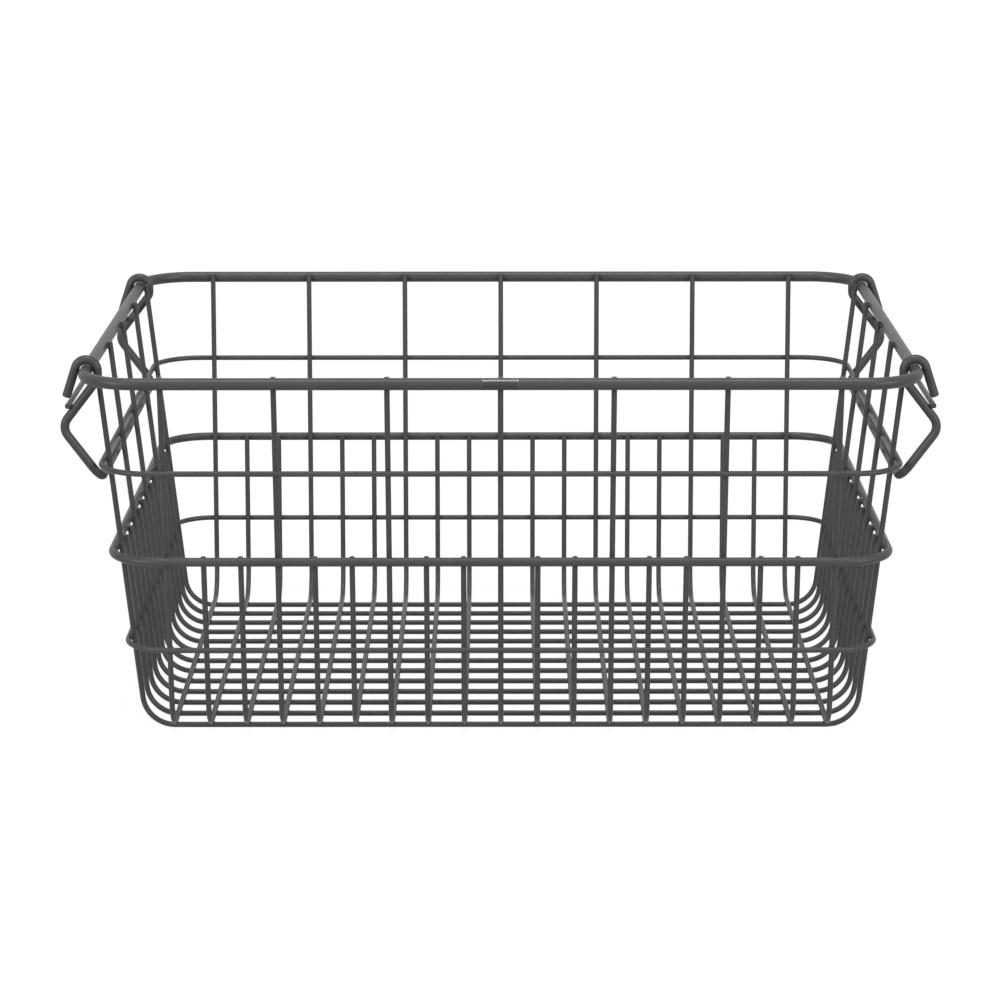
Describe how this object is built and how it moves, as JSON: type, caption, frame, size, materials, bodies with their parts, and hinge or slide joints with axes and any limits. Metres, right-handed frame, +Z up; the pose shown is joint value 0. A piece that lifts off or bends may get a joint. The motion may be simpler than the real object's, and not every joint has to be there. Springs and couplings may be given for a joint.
{
  "type": "wire locker basket",
  "caption": "Open rectangular basket of coated steel wire with leaning walls, a thick rim, and a wire bail at each end that swings out to lift it or in to carry a stacked basket.",
  "frame": {"origin": "on the ground under the middle of the basket, at the bottom centre of its bounding box", "axes": "+X along the basket's length towards the right bail, +Y from the front to the rear, +Z up"},
  "size_m": [0.4392, 0.3065, 0.1958],
  "materials": {
    "rim_coating": "satin dark grey powder coat on 6 mm wire",
    "ring_coating": "satin dark grey powder coat",
    "thin_wire_coating": "satin dark grey powder coat on thin wire",
    "bail_coating": "satin dark grey powder coat on the bails and stay bars",
    "clear_film": "clear glossy film, bare"
  },
  "bodies": {
    "basket": {"rim": "rim_coating", "upper_ring": "ring_coating", "middle_ring": "ring_coating", "lower_ring": "ring_coating", "tall_lengthwise_wire_1": "thin_wire_coating", "tall_lengthwise_wire_2": "thin_wire_coating", "tall_lengthwise_wire_3": "thin_wire_coating", "tall_lengthwise_wire_4": "thin_wire_coating", "tall_lengthwise_wire_5": "thin_wire_coating", "short_lengthwise_wire_1": "thin_wire_coating", "short_lengthwise_wire_2": "thin_wire_coating", "short_lengthwise_wire_3": "thin_wire_coating", "short_lengthwise_wire_4": "thin_wire_coating", "short_lengthwise_wire_5": "thin_wire_coating", "short_lengthwise_wire_6": "thin_wire_coating", "short_lengthwise_wire_7": "thin_wire_coating", "short_lengthwise_wire_8": "thin_wire_coating", "tall_crosswise_wire_1": "thin_wire_coating", "tall_crosswise_wire_2": "thin_wire_coating", "tall_crosswise_wire_3": "thin_wire_coating", "tall_crosswise_wire_4": "thin_wire_coating", "tall_crosswise_wire_5": "thin_wire_coating", "tall_crosswise_wire_6": "thin_wire_coating", "tall_crosswise_wire_7": "thin_wire_coating", "short_crosswise_wire_1": "thin_wire_coating", "short_crosswise_wire_2": "thin_wire_coating", "short_crosswise_wire_3": "thin_wire_coating", "short_crosswise_wire_4": "thin_wire_coating", "short_crosswise_wire_5": "thin_wire_coating", "short_crosswise_wire_6": "thin_wire_coating", "short_crosswise_wire_7": "thin_wire_coating", "short_crosswise_wire_8": "thin_wire_coating", "short_crosswise_wire_9": "thin_wire_coating", "short_crosswise_wire_10": "thin_wire_coating", "short_crosswise_wire_11": "thin_wire_coating", "short_crosswise_wire_12": "thin_wire_coating", "rim_label": "clear_film"},
    "left_bail": {"left_bail": "bail_coating", "left_stay_bar": "bail_coating"},
    "right_bail": {"right_bail": "bail_coating", "right_stay_bar": "bail_coating"}
  },
  "joints": [
    {"name": "left_bail_swing", "type": "hinge", "parent": "basket", "child": "left_bail", "pos_m": [-0.20573, 0, 0.188], "axis": [0, 1, 0], "range_deg": [0, 303.5]},
    {"name": "right_bail_swing", "type": "hinge", "parent": "basket", "child": "right_bail", "pos_m": [0.20573, 0, 0.188], "axis": [0, -1, 0], "range_deg": [0, 303.5]}
  ]
}
